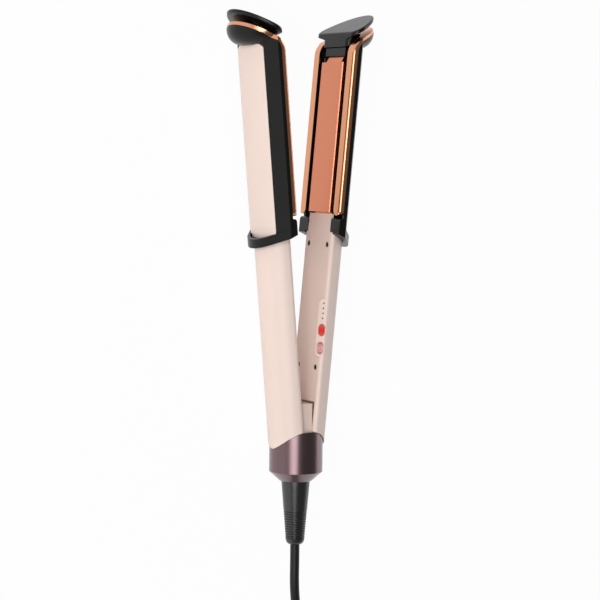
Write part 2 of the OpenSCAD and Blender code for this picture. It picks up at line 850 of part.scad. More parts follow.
// Outline of the outer panel seen from behind the arm: rounded below and arched above
module panel_arch(grow) {
    top = panel_top + grow;
    side = panel_w / 2 + grow;
    r = panel_corner + grow;
    low = panel_low + panel_corner;
    intersection() {
        translate([0, top - panel_arch_r]) circle(panel_arch_r);
        translate([-side, top - panel_arch_r]) square([2 * side, panel_arch_r]);
    }
    polygon(concat(
        [for (a = [180:15:270]) [r - side, low] + r * [cos(a), sin(a)]],
        [for (a = [270:15:360]) [side - r, low] + r * [cos(a), sin(a)]],
        [[side, top - panel_arch_r + eps], [-side, top - panel_arch_r + eps]]
    ));
}

// Turns a view from behind into a solid between two depths
module from_behind(from, to) {
    translate([from, 0, 0]) rotate([0, 90, 0]) linear_extrude(to - from) children();
}

// Recess for the outer panel, which runs on inside the collar's lip
module panel_recess() {
    intersection() {
        from_behind(panel_floor, housing_back + panel_crown + 0.6) panel_arch(fit);
        above_collar_edge(collar_high);
    }
    intersection() {
        along(recess_low - collar_r, collar_high) difference() {
            collar_outline(collar_r - collar_lip);
            translate([-20, -40]) square([20 + panel_floor, 80]);
        }
        block([0, 40], [0, far], panel_w + 2 * fit);
        above_collar_edge(recess_low);
    }
}

module outer_panel(side) {
    color(PINK) arm(side) intersection() {
        from_behind(panel_floor, housing_back + panel_crown + 1) panel_arch(0);
        along(0, far) translate([housing_back + panel_crown - panel_curve_r, 0])
            circle(panel_curve_r, $fn = 360);
        above_collar_edge(panel_edge);
    }
}

// Trim

module rail_opening() {
    inner = half_w - rail_w;
    block([-5, 40], [0, neck_start + 2], 2 * inner);
    along(neck_start - 0.3, far) d_outline(neck_r + 0.3, neck_flat - 3, neck_fillet);
}

// Both rails' lower ends, rounded as seen from the front
module rail_ends() {
    end_r = rail_w / 2;
    rail_start = plate_start - 1.8;
    from_behind(-5, 40) {
        translate([-half_w, rail_start + end_r]) square([housing_w, far]);
        for (up = [-1, 1]) translate([up * (half_w - end_r), rail_start + end_r]) circle(end_r);
    }
}

module trim_frame(side) {
    color(COPPER) arm(side) intersection() {
        difference() {
            intersection() {
                arm_body(fit);
                across(60) edge_side(trim_face, cap_to_trim, trim_corner);
            }
            intersection() {
                arm_body(fit + trim_t);
                across(60) edge_side(trim_face + trim_t, cap_to_trim + trim_t, trim_corner);
            }
            across(60) edge_side(rim_depth - 0.3, cap_to_rim - 0.3, rim_corner);
            rail_opening();
        }
        rail_ends();
    }
}

// Tip cap

// Slice of the cap between two depths under its slanted top
module cap_slice(r, flat, fillet, from, to) {
    intersection() {
        along(slanted(0, 20), slanted(30, 0)) d_outline(r, flat, fillet);
        translate([cap_flat, tip_front, 0]) rotate([0, 0, tip_slope])
            translate([-60, -to, -40]) cube([120, to - from, 80]);
    }
}

module tip_cap(side) {
    $fn = 64;
    dish = cap_to_trim - 0.7;
    color(BLACK) arm(side) {
        hull() {
            cap_slice(cap_r - 0.8, cap_flat, cap_fillet, 0, eps);
            cap_slice(cap_r, cap_flat, cap_fillet, 0.7, cap_edge);
        }
        hull() {
            cap_slice(cap_r - 0.8, cap_flat + 0.3, cap_fillet, cap_edge - eps, cap_edge);
            cap_slice(neck_r + 2, neck_flat, cap_fillet, dish - 0.2, dish);
        }
        cap_slice(neck_r, neck_flat, neck_fillet, dish - 0.1, neck_depth);
    }
}

// Controls

// Places a piece on the tilted control panel, its Z axis out of the handle
module on_panel(l) {
    translate([pill_depth, l, pill_side]) rotate([0, pill_tilt - 90, 0]) children();
}

module control_panel() {
    post_places = [first_indicator_l - indicator_pitch / 2 - 0.1, (power_l + mode_l) / 2];
    color(PINK) arm(RIGHT) {
        difference() {
            on_panel(pill_centre) translate([0, 0, -pill_t])
                linear_extrude(pill_t) stadium(pill_w, pill_l);
            for (l = [power_l, mode_l]) on_panel(l) translate([0, 0, -pill_t - 1])
                linear_extrude(pill_t + 2)
                    stadium(button_w + 2 * button_gap, button_l + 2 * button_gap);
            for (i = [0:indicators - 1]) on_panel(first_indicator_l + i * indicator_pitch)
                translate([0, 0, -pill_t - 1])
                    cylinder(h = pill_t + 2, d = indicator_d + 2 * running, $fn = 24);
        }
        for (l = post_places) on_panel(l) translate([0, 0, -board_depth])
            cylinder(h = board_depth - pill_t + eps, d = 1.2, $fn = 24);
    }
}

module indicator_lenses() {
    color([0.35, 0.32, 0.32]) arm(RIGHT)
        for (i = [0:indicators - 1]) on_panel(first_indicator_l + i * indicator_pitch)
            translate([0, 0, 0.05 - board_depth])
                cylinder(h = board_depth, d = indicator_d, $fn = 24);
}

module button(l, face) {
    color(face) arm(RIGHT) on_panel(l) {
        translate([0, 0, -pill_t - button_flange - 0.3])
            linear_extrude(pill_t + button_flange + 0.3 + button_proud)
                stadium(button_w, button_l);
        translate([0, 0, -pill_t - button_flange - 0.3])
            linear_extrude(button_flange) stadium(button_w + 1.2, button_l + 1.2);
    }
}

module control_board() {
    color([0.15, 0.35, 0.22]) arm(RIGHT) on_panel(pill_centre)
        translate([board_shift - board_w / 2, -pill_l / 2 + 1, -board_depth - board_t])
            cube([board_w, pill_l + 6, board_t]);
}

module button_switches() {
    plunger_top = -pill_t - button_flange - 0.3 - button_travel - 0.1;
    color(STEEL) arm(RIGHT) for (l = [power_l, mode_l]) on_panel(l) {
        translate([-1.8, -2, -board_depth]) cube([3.6, 4, 1]);
        translate([0, 0, -board_depth]) cylinder(h = board_depth + plunger_top, d = 1.6, $fn = 24);
    }
}

// Cord

// Faceted tube along a list of points
module tube(points, r, sides) {
    last = len(points) - 1;
    rings = [for (i = [0:last])
        let (
            ahead = points[min(i + 1, last)] - points[max(i - 1, 0)],
            dir = ahead / norm(ahead),
            up = abs(dir[2]) < 0.9 ? [0, 0, 1] : [1, 0, 0],
            u = cross(dir, up) / norm(cross(dir, up)),
            v = cross(u, dir)
        )
        [for (k = [0:sides - 1])
            let (a = 360 * (k + 0.5) / sides)
            points[i] + r * (cos(a) * u + sin(a) * v)]];
    faces = concat(
        [[for (k = [0:sides - 1]) k]],
        [for (i = [0:last - 1], k = [0:sides - 1])
            let (n = (k + 1) % sides)
            each [
                [i * sides + k, (i + 1) * sides + k, (i + 1) * sides + n],
                [i * sides + k, (i + 1) * sides + n, i * sides + n]
            ]],
        [[for (k = [sides - 1:-1:0]) last * sides + k]]
    );
    polyhedron([for (ring = rings) each ring], faces);
}

module cord_lead() {
    color(BLACK) tube(lead, cord_r, 12);
}

module cord_hank() {
    color(BLACK) tube(hank, cord_r, 6);
}

module cord_tail() {
    color(BLACK) tube(tail, cord_r, 12);
}

// Strap round the hank's waist
module cord_tie() {
    right = hank_r(run_rings / 2) - hank_waist + cord_r + tie_slack;
    left = hank_waist - hank_r(1.5 * run_rings + bend_rings) - cord_r - tie_slack;
    top = 2 * cord_r + hank_rise + hank_lift + 0.3;
    color(BLACK)
        translate([hank_x + (left + right) / 2, hank_near - (hank_run - tie_w) / 2, 0])
            rotate([90, 0, 0]) linear_extrude(tie_w) difference() {
                tie_outline(right - left + 2 * tie_t, top + tie_t, 0, cord_r + tie_t);
                tie_outline(right - left, top, tie_t, cord_r);
            }
}

// Rounded rectangle that stands on a given height
module tie_outline(width, top, bottom, r) {
    translate([-width / 2, bottom + r]) square([width, top - bottom - 2 * r]);
    translate([r - width / 2, bottom]) square([width - 2 * r, top - bottom]);
    for (x = [r - width / 2, width / 2 - r], y = [bottom + r, top - r]) translate([x, y]) circle(r);
}

// Moulded two-pin plug, thick at its pins and tapered to the cord
module plug_body() {
    slices = [[0, 11, 9], [-6, 14, 11], [-20, 35, 13.6], [-33, 35.4, 13.6], [-36, 33, 12.6]];
    color(BLACK) translate(plug_at)
        for (i = [0:3]) hull() for (s = [slices[i], slices[i + 1]])
            translate([0, s[0], 0]) rotate([90, 0, 0]) linear_extrude(0.05)
                stadium_across(s[1], s[2]);
}

module stadium_across(width, height) {
    rotate([0, 0, 90]) stadium(height, width, $fn = 32);
}

module plug_pins() {
    pin_l = 19;
    color(STEEL) translate(plug_at - [0, 36.05, 0])
        for (side = [-1, 1]) translate([side * plug_pitch / 2, 0, 0]) rotate([90, 0, 0]) {
            cylinder(h = pin_l - 1, d = plug_pin_d, $fn = 32);
            translate([0, 0, pin_l - 1])
                cylinder(h = 1, d1 = plug_pin_d, d2 = plug_pin_d - 1.2, $fn = 32);
        }
}

base_cup();
swivel_retainer();
hinge_block();
hinge_pin();
opening_spring();
strain_relief();
hinge_bracket(LEFT, outer_from, outer_to);  // left_hinge_bracket
handle_shell(LEFT);  // left_handle_shell
handle_cover(LEFT);  // left_handle_cover
cover_screws(LEFT);  // left_cover_screws
housing(LEFT);  // left_housing
outer_panel(LEFT);  // left_outer_panel
trim_frame(LEFT);  // left_trim_frame
plate_carrier(LEFT);  // left_plate_carrier
tip_cap(LEFT);  // left_tip_cap
plate(LEFT);  // left_plate
heater(LEFT);  // left_heater
thermal_fuse(LEFT);  // left_thermal_fuse
plate_cushions(LEFT);  // left_plate_cushions
hinge_bracket(RIGHT, inner_from, inner_to);  // right_hinge_bracket
handle_shell(RIGHT);  // right_handle_shell
handle_cover(RIGHT);  // right_handle_cover
cover_screws(RIGHT);  // right_cover_screws
housing(RIGHT);  // right_housing
outer_panel(RIGHT);  // right_outer_panel
trim_frame(RIGHT);  // right_trim_frame
plate_carrier(RIGHT);  // right_plate_carrier
tip_cap(RIGHT);  // right_tip_cap
plate(RIGHT);  // right_plate
heater(RIGHT);  // right_heater
thermal_fuse(RIGHT);  // right_thermal_fuse
plate_cushions(RIGHT);  // right_plate_cushions
control_panel();
indicator_lenses();
control_board();
button_switches();
button(power_l, [0.85, 0.55, 0.58]);  // power_button
button(mode_l, [0.8, 0.16, 0.16]);  // mode_button
cord_lead();
cord_hank();
cord_tail();
cord_tie();
plug_body();
plug_pins();
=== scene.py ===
"""Looks of a hair straightener with two hinged arms, floating plates and a swivel cord."""
import json
import math

import bmesh
import bpy
from mathutils import Matrix, Vector


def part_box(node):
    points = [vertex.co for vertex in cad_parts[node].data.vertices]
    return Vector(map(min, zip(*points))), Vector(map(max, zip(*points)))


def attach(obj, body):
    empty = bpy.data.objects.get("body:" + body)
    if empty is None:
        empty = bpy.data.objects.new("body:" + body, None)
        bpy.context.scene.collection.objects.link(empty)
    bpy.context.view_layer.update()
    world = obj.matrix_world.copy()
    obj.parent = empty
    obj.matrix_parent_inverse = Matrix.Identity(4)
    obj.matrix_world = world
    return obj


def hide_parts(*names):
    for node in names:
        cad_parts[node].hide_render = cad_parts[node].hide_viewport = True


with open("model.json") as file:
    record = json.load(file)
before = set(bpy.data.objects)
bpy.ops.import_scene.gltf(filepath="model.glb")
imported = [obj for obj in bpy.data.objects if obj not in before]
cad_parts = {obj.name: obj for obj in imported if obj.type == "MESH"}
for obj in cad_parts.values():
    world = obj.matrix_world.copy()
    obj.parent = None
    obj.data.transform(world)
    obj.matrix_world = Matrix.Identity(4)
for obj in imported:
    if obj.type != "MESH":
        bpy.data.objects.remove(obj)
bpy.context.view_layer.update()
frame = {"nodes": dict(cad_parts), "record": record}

bl_info = {
    "name": "Hair straightener looks",
    "version": (1, 0, 0),
    "blender": (4, 5, 0),
    "location": "3D View > Sidebar > Straightener",
    "description": "Finishes, moulded pieces, cord and stage for the packed hair straightener",
    "category": "Object",
}

MM = 0.001
LENGTHWISE = Vector((0, 1, 0))

# The hinge axis of both arms, in millimetres, and how far each arm is open at rest
HINGE_Y, AXIS_Z = -115.7652, 24.7484
PIVOT = Vector((0.0, HINGE_Y, AXIS_Z)) * MM
OPEN_ANGLE = math.radians(5.3)


# ---------------------------------------------------------------- shader maths

# A Mix node's sockets for colours, by number, as their names are used more than once
MIX_FACTOR, MIX_FIRST, MIX_SECOND, MIX_RESULT = 0, 6, 7, 2
NOISE_MIDDLE = 0.5


class Socket:
    """A socket of a node tree, with Python's operators as its Math nodes."""

    def __init__(self, tree, socket):
        self.tree = tree
        self.socket = socket

    def _math(self, operation, *values):
        return self.tree.add("ShaderNodeMath", {"operation": operation}, list(values))

    def __add__(self, other):
        return self._math("ADD", self, other)

    __radd__ = __add__

    def __sub__(self, other):
        return self._math("SUBTRACT", self, other)

    def __rsub__(self, other):
        return self._math("SUBTRACT", other, self)

    def __mul__(self, other):
        return self._math("MULTIPLY", self, other)

    __rmul__ = __mul__

    def __truediv__(self, other):
        return self._math("DIVIDE", self, other)

    def __rtruediv__(self, other):
        return self._math("DIVIDE", other, self)

    def __gt__(self, other):
        return self._math("GREATER_THAN", self, other)

    def __lt__(self, other):
        return self._math("LESS_THAN", self, other)

    def clamped(self):
        """The value, held between 0 and 1."""
        return self.tree.add("ShaderNodeClamp", {}, [self, 0.0, 1.0])


class Finish:
    """A new material, or a given world, and its node tree; add() makes every node in it."""

    def __init__(self, name, world=None):
        self.material = world or bpy.data.materials.new(name + "_finish")
        self.material.use_nodes = True
        self.nodes = self.material.node_tree.nodes
        self.links = self.material.node_tree.links
        self.nodes.clear()

    def add(self, kind, settings=None, inputs=None, output=0):
        """One node: its settings first, then the values or links of its sockets."""
        node = self.nodes.new(kind)
        for name, value in (settings or {}).items():
            setattr(node, name, value)
        pairs = inputs.items() if isinstance(inputs, dict) else enumerate(inputs or [])
        for key, value in pairs:
            if isinstance(value, Socket):
                self.links.new(value.socket, node.inputs[key])
            else:
                node.inputs[key].default_value = value
        return Socket(self, node.outputs[output]) if node.outputs else None

    def mixed(self, factor, first, second):
        """A colour between two colours."""
        return self.add("ShaderNodeMix", {"data_type": "RGBA"},
                        {MIX_FACTOR: factor, MIX_FIRST: first, MIX_SECOND: second},
                        output=MIX_RESULT)

    def place(self, kind="Object"):
        """Where a point is in its piece's own frame, in metres, or the surround's direction."""
        return self.add("ShaderNodeTexCoord", output=kind)

    def part(self, vector, axis):
        """One of a vector's three numbers, by the letter of its axis."""
        return self.add("ShaderNodeSeparateXYZ", {}, [vector], output=axis)

    def noise(self, vector, scale, detail, rough=0.5, stretch=None):
        """Cloudy noise from 0 to 1, about scale grains to the metre."""
        if stretch:
            vector = self.add("ShaderNodeVectorMath", {"operation": "MULTIPLY"},
                              [vector, stretch])
        return self.add("ShaderNodeTexNoise", {}, {
            "Vector": vector, "Scale": scale, "Detail": detail, "Roughness": rough})

    def swing(self, noise, span):
        """Noise as a change of this span about nought."""
        return (noise - NOISE_MIDDLE) * span

    def bumped(self, height, strength, depth):
        """The surface normal with a fine relief, its depth in metres."""
        return self.add("ShaderNodeBump", {}, {
            "Strength": strength, "Distance": depth, "Height": height})

    def surface(self, **sockets):
        """Ends the tree in a Principled surface with these sockets set."""
        names = {key.replace("_", " "): value for key, value in sockets.items()}
        principled = self.add("ShaderNodeBsdfPrincipled", {}, names)
        self.add("ShaderNodeOutputMaterial", {}, {"Surface": principled})


def rgb(red, green, blue):
    """A colour given in picture values from 0 to 255, as linear light by the sRGB curve."""
    def linear(value):
        value /= 255
        return value / 12.92 if value <= 0.04045 else ((value + 0.055) / 1.055) ** 2.4
    return (linear(red), linear(green), linear(blue), 1.0)


def grey(value):
    """A neutral colour of this strength in linear light."""
    return (value, value, value, 1.0)


def darker(colour, share):
    """A colour with this share of its light left."""
    return (*(c * share for c in colour[:3]), 1.0)


def dusty(colour, gain=1.35, lift=0.002):
    """A dark colour with a little dust on it."""
    return (*(min(1.0, c * gain + lift) for c in colour[:3]), 1.0)


# ---------------------------------------------------------------- finishes

# Grains to the metre of the fine spark grain that moulds leave
SPARK_SCALE = 5200.0


def moulded_plastic(name, colour, roughness, grain=0.05, mottle=0.96, coat=0.0, gloss=0.5):
    """Moulded plastic: fine spark grain, slight mottling and a satin sheen."""
    finish = Finish(name)
    place = finish.place()
    cloud = finish.noise(place, scale=35.0, detail=2.0)
    grains = finish.noise(place, SPARK_SCALE, detail=2.0, rough=0.6)
    finish.surface(
        Base_Color=finish.mixed(cloud, darker(colour, mottle), colour),
        Roughness=finish.swing(cloud, 0.08) + finish.swing(grains, 0.06) + roughness,
        Specular_IOR_Level=gloss,
        Coat_Weight=coat,
        Coat_Roughness=0.2,
        Normal=finish.bumped(grains, strength=grain, depth=0.00006),
    )


def coated_metal(name, colour, roughness, metallic=1.0, streak=(1.0, 1.0, 1.0),
                 strength=0.04, lacquer=0.0):
    """Anodised or plated metal: directional streaks and faint cloudiness."""
    finish = Finish(name)
    place = finish.place()
    lines = finish.noise(place, scale=900.0, detail=3.0, rough=0.6, stretch=streak)
    cloud = finish.noise(place, scale=60.0, detail=2.0)
    finish.surface(
        Base_Color=finish.mixed(cloud, darker(colour, 0.94), colour),
        Metallic=metallic,
        Roughness=finish.swing(lines, 0.12) + finish.swing(cloud, 0.05) + roughness,
        Coat_Weight=lacquer,
        Coat_Roughness=0.26,
        Normal=finish.bumped(lines, strength, depth=0.00003),
    )


def soft_rubber(name, colour, roughness, gloss=0.3, pebbles=0.10):
    """Rubber or soft vinyl: slightly dusty, with a fine pebble."""
    finish = Finish(name)
    place = finish.place()
    pebble = finish.noise(place, scale=2600.0, detail=3.0, rough=0.65)
    dust = finish.noise(place, scale=160.0, detail=3.0)
    finish.surface(
        Base_Color=finish.mixed(dust, colour, dusty(colour)),
        Roughness=finish.swing(dust, 0.12) + roughness,
        Specular_IOR_Level=gloss,
        Normal=finish.bumped(pebble, strength=pebbles, depth=0.00006),
    )


def ceramic_coat(name, colour):
    """Copper-coloured ceramic coat on the plates: smooth, with a faint orange peel."""
    finish = Finish(name)
    place = finish.place()
    peel = finish.noise(place, scale=700.0, detail=2.0)
    cloud = finish.noise(place, scale=28.0, detail=2.0)
    finish.surface(
        Base_Color=finish.mixed(cloud, darker(colour, 0.95), colour),
        Metallic=1.0,
        Roughness=finish.swing(cloud, 0.06) + 0.28,
        Normal=finish.bumped(peel, strength=0.05, depth=0.00004),
    )


def painted_highlight_button(name, button, colour, ends, glow):
    """Translucent button cap with a painted highlight: brighter in its middle than at its ends,
    and glowing faintly in these painted colours.
    """
    finish = Finish(name)
    place = finish.place()
    low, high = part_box(button)
    middle, half = (low.y + high.y) / 2, (high.y - low.y) / 2
    away = (finish.part(place, "Y") - middle) / half
    highlight_fall = 2.2
    # The middle is lighter than the ends: a painted highlight, which the glow gives off too
    painted_highlight = (1 - away * away * highlight_fall).clamped()
    grains = finish.noise(place, SPARK_SCALE, detail=2.0, rough=0.6)
    highlight_colour = finish.mixed(painted_highlight, ends, colour)
    finish.surface(
        Base_Color=highlight_colour,
        Roughness=finish.swing(grains, 0.08) + 0.3,
        Emission_Color=highlight_colour,
        Emission_Strength=glow,
        Normal=finish.bumped(grains, strength=0.04, depth=0.00005),
    )


def circuit_resin(name):
    """Green resin of a circuit board, with paler tracks along it."""
    finish = Finish(name)
    tracks = finish.noise(finish.place(), scale=900.0, detail=1.0, rough=0.3,
                          stretch=(1.0, 0.15, 1.0))
    covered = 0.52
    finish.surface(
        Base_Color=finish.mixed(tracks > covered, rgb(20, 70, 42), rgb(48, 112, 70)),
        Roughness=0.45,
        Normal=finish.bumped(tracks, strength=0.1, depth=0.00005),
    )


def make_all_finishes(colours):
    """A material for each of the record's slots, and for the scene's own finishes."""
    moulded_plastic("pink_shell", colours["shell"], roughness=0.38, gloss=0.35)
    moulded_plastic("black_housing", colours["housing"], roughness=0.28, grain=0.06,
                    mottle=0.85, gloss=0.25)
    moulded_plastic("ceramic", rgb(226, 222, 210), roughness=0.7)
    moulded_plastic("smoked_lens", rgb(92, 78, 74), roughness=0.2, coat=0.5)
    moulded_plastic("panel_gloss", colours["panel"], roughness=0.3, coat=0.3)
    moulded_plastic("icon_ink", rgb(190, 78, 92), roughness=0.5)
    coated_metal("copper_trim", colours["trim"], roughness=0.22, streak=(1, 0.1, 1),
                 strength=0.01)
    coated_metal("mauve_cup", colours["cup"], roughness=0.31, streak=(0.15, 3, 0.15),
                 strength=0.01, lacquer=0.6)
    coated_metal("steel", rgb(196, 196, 200), roughness=0.3, streak=(0.2, 1, 1))
    # Bare steel with a painted warm reflection as its colour
    coated_metal("bracket_steel", rgb(222, 186, 170), roughness=0.5, metallic=0.3)
    coated_metal("dark_screw", rgb(60, 42, 36), roughness=0.42, metallic=0.7)
    ceramic_coat("copper_plate", colours["plate"])
    soft_rubber("relief_rubber", colours["rubber"], roughness=0.3, gloss=0.8, pebbles=0.03)
    soft_rubber("cord_rubber", colours["cord"], roughness=0.44)
    soft_rubber("silicone", rgb(186, 92, 70), roughness=0.6)
    soft_rubber("strap_fabric", rgb(30, 30, 32), roughness=0.8)
    circuit_resin("circuit_board")
    # Each button's colour is its painted highlight in the middle, and ends is the colour at its
    # ends
    painted_highlight_button("rose_button", "power_button", colours["power"], rgb(190, 118, 122), glow=0.05)
    painted_highlight_button("red_button", "mode_button", colours["mode"], rgb(176, 96, 96), glow=0.25)


def material(name):
    """A finish's material, which MakeFinishes has made."""
    found = bpy.data.materials.get(name + "_finish")
    if found is None:
        raise RuntimeError("make the finishes first: there is no material " + name)
    return found


# ---------------------------------------------------------------- shapes

# Angles between two faces: above which an edge of a new piece is crisp, and above which a CAD
# edge is rounded; below the last, two CAD faces are one flat
CRISP_EDGE = math.radians(34)
CAD_EDGE = math.radians(32)
ONE_FLAT = math.radians(0.6)

# A trim frame's rolled corner: how sharp the CAD edge is, how far its side looks outward and
# not across the arm, and how squarely its flat faces the other arm
ROLL_EDGE = math.radians(50)
ROLL_OUTWARD, ROLL_ACROSS, ROLL_FLAT = 0.6, 0.85, 0.75


def arm_matrix(side):
    """From a closed arm's frame, in millimetres, to the open tool, in metres."""
    turn = Matrix.Rotation(-side * OPEN_ANGLE, 4, "Z")
    flip = Matrix.Diagonal((side, 1, 1, 1))
    return Matrix.Translation(PIVOT) @ turn @ flip @ Matrix.Scale(MM, 4)


def facing(place, right, up, away):
    """A camera's or lamp's matrix, from where it stands and its three directions."""
    return Matrix.Translation(place) @ Matrix((right, up, away)).transposed().to_4x4()


def linked(name, data):
    """A new object in the scene."""
    obj = bpy.data.objects.new(name, data)
    bpy.context.scene.collection.objects.link(obj)
    return obj


def settled(name, data, finish, body, replaces):
    """A piece's object, with its material, body and replaced nodes."""
    data.materials.append(material(finish))
    obj = linked(name, data)
    if obj.type == "MESH":
        obj.modifiers.new("true_flats", "WEIGHTED_NORMAL").keep_sharp = True
    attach(obj, body)
    if replaces:
        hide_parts(*replaces)
    return obj


def piece(name, bm, finish, body, replaces=(), crisp=CRISP_EDGE):
    """A piece from its mesh, which gets smooth faces with crisp edges."""
    bmesh.ops.recalc_face_normals(bm, faces=bm.faces)
    for face in bm.faces:
        face.smooth = True
    for edge in bm.edges:
        edge.smooth = len(edge.link_faces) == 2 and edge.calc_face_angle(0.0) < crisp
    mesh = bpy.data.meshes.new(name)
    bm.to_mesh(mesh)
    bm.free()
    settled(name, mesh, finish, body, replaces)


def loft(bm, rings, closed_ends=True):
    """Joins rings of equal length with quads, and caps both ends where asked."""
    made = [[bm.verts.new(p) for p in ring] for ring in rings]
    count = len(made[0])
    for a, b in zip(made, made[1:]):
        for i in range(count):
            j = (i + 1) % count
            bm.faces.new((a[i], a[j], b[j], b[i]))
    if closed_ends:
        bm.faces.new(list(reversed(made[0])))
        bm.faces.new(made[-1])


def bevelled(bm, edges, width, segments, clamped):
    """Rounds these edges; clamped keeps the round from running over its neighbours."""
    bmesh.ops.bevel(bm, geom=edges, offset=width, segments=segments, profile=0.5,
                    affect="EDGES", clamp_overlap=clamped, offset_type="OFFSET")


def welded(node):
    """A node's own mesh with its faces joined, so that its curves can be smooth."""
    bm = bmesh.new()
    bm.from_mesh(frame["nodes"][node].data)
    bmesh.ops.remove_doubles(bm, verts=bm.verts, dist=2e-6)
    bmesh.ops.dissolve_degenerate(bm, edges=bm.edges, dist=1e-7)
    return bm


def sharp_edges(bm, least):
    """Edges between two faces that meet at more than this angle."""
    return [edge for edge in bm.edges
            if len(edge.link_faces) == 2 and edge.calc_face_angle(0.0) > least]


def rolled_edges(bm, side):
    """The long outer corners of a trim frame, between its flat and its sides."""
    to_arm = arm_matrix(side).inverted()
    turn = to_arm.to_3x3().normalized()
    found = []
    for edge in sharp_edges(bm, ROLL_EDGE):
        middle = to_arm @ ((edge.verts[0].co + edge.verts[1].co) / 2)
        outward = Vector((middle.x, 0, middle.z)).normalized()
        normals = [turn @ face.normal for face in edge.link_faces]
        sides = [n for n in normals if n.dot(outward) > ROLL_OUTWARD and abs(n.x) < ROLL_ACROSS]
        flats = [n for n in normals if n.x < -ROLL_FLAT]
        if len(sides) == 1 and len(flats) == 1:
            found.append(edge)
    return found


def eased(node, width, rolled=0.0):
    """A node's own mesh with its edges rounded, as a mould or a press leaves them."""
    bm = welded(node)
    bmesh.ops.dissolve_limit(bm, angle_limit=ONE_FLAT, verts=bm.verts, edges=bm.edges,
                             delimit=set())
    if rolled:
        side = 1 if node.startswith("right") else -1
        bevelled(bm, rolled_edges(bm, side), rolled, segments=5, clamped=False)
    bevelled(bm, sharp_edges(bm, CAD_EDGE), width, segments=2, clamped=True)
    return bm


# ---------------------------------------------------------------- outlines, in millimetres

# The tip caps: the slope of their tops, where the top starts, their flat side's distance from
# the plane between the arms, and how far the caps stand inward of the CAD's
TIP_SLOPE = math.radians(32.5)
TIP_FRONT = 274.3
CAP_FLAT = 0.5
CAP_SHIFT = 1.8

RING_SIDES = 64


def round_ring(r, y):
    """A circle about the cord's axis."""
    return [Vector((r * math.cos(a), y, AXIS_Z + r * math.sin(a)))
            for a in (math.tau * i / RING_SIDES for i in range(RING_SIDES))]


def slot_ring(width, height, steps=10):
    """Outline of a rounded slot, wide in X, as pairs."""
    r = height / 2
    half = width / 2 - r
    ring = []
    for centre, start in ((half, -90), (-half, 90)):
        for i in range(steps + 1):
            a = math.radians(start + 180 * i / steps)
            ring.append((centre + r * math.cos(a), r * math.sin(a)))
    return ring


def strap_ring(width, height, r, inset, steps=8):
    """Outline of the strap's loop, its corners of radius r, moved in by inset, as pairs."""
    ring = []
    for cx, cz, start in ((1, 1, 0), (-1, 1, 90), (-1, -1, 180), (1, -1, 270)):
        for i in range(steps + 1):
            a = math.radians(start + 90 * i / steps)
            ring.append((cx * (width / 2 - r) + (r - inset) * math.cos(a),
                         cz * (height / 2 - r) + (r - inset) * math.sin(a)))
    return ring


def cap_ring(r, flat, fillet, drop, arc=40, corner_steps=7):
    """Ring of the tip's cap at a depth under its slanted top, in the arm's frame."""
    flat += CAP_SHIFT
    corner = math.sqrt((r - fillet) ** 2 - (flat + fillet) ** 2)
    meet = math.atan2(corner, flat + fillet)
    outline = []
    for i in range(arc + 1):
        a = -meet + 2 * meet * i / arc
        outline.append((r * math.cos(a), r * math.sin(a)))
    for i in range(1, corner_steps + 1):
        a = meet + (math.pi - meet) * i / corner_steps
        outline.append((flat + fillet + fillet * math.cos(a), corner + fillet * math.sin(a)))
    for i in range(corner_steps):
        a = -math.pi + (math.pi - meet) * i / corner_steps
        outline.append((flat + fillet + fillet * math.cos(a), -corner + fillet * math.sin(a)))
    rise, highlight_fall = math.tan(TIP_SLOPE), drop / math.cos(TIP_SLOPE)
    return [Vector((o - CAP_SHIFT, TIP_FRONT + (o - CAP_SHIFT - CAP_FLAT) * rise - highlight_fall, h))
            for o, h in outline]


# ---------------------------------------------------------------- the cord's route, in millimetres

# From the strain relief down to the hank, and from the hank to the plug
LEAD = [
    (0, -170.865, AXIS_Z), (0, -183, AXIS_Z), (0, -196, AXIS_Z), (1.5, -208, 23.6),
    (4.1, -216, 21.7), (8, -224, 18.7), (13.2, -232, 14.7), (18.9, -240, 10.4),
    (23.3, -248, 7.1), (26.4, -256, 4.7), (28.2, -264, 3.4), (28.7, -272, 3), (28.7, -283, 3),
]
TAIL = [
    (28.7, -385, 9.5), (28.7, -391, 9.5), (28.7, -398, 8.9), (28.7, -405, 7.7),
    (28.7, -412, 6.9), (28.7, -419, 6.9),
]
CURVE_STEPS = 4
CORD_R = 3.0

# The hank: where its middle and its near end lie, and the length of its straight runs
HANK_X, HANK_NEAR, HANK_RUN = -10.0, -289.0, 90.0
# Its tightest bend, the room between two loops and the loops in each of its two layers
HANK_INNER_R, HANK_STEP, HANK_LOOPS = 18.0, 6.9, 3
# How high the upper layer lies, and how far the strap draws the runs in and lifts them
HANK_RISE, HANK_WAIST, HANK_LIFT = 6.5, 8.0, 1.3
# Rings along a run and round a bend, and points of the route for each ring
RUN_RINGS, BEND_RINGS, RING_POINTS = 4, 8, 3
HALF_LOOP = RUN_RINGS + BEND_RINGS
LOOP_RINGS = 2 * HALF_LOOP
# The rings where the cord starts to climb to the upper layer, is up, and leaves the hank
CLIMB_START = HANK_LOOPS * LOOP_RINGS
CLIMB_END = CLIMB_START + RUN_RINGS
HANK_END = CLIMB_END + HANK_LOOPS * LOOP_RINGS


def waist(t):
    """How far the strap draws a run in, from 0 at its ends to 1 in its middle."""
    return (1 - math.cos(2 * math.pi * t)) / 2


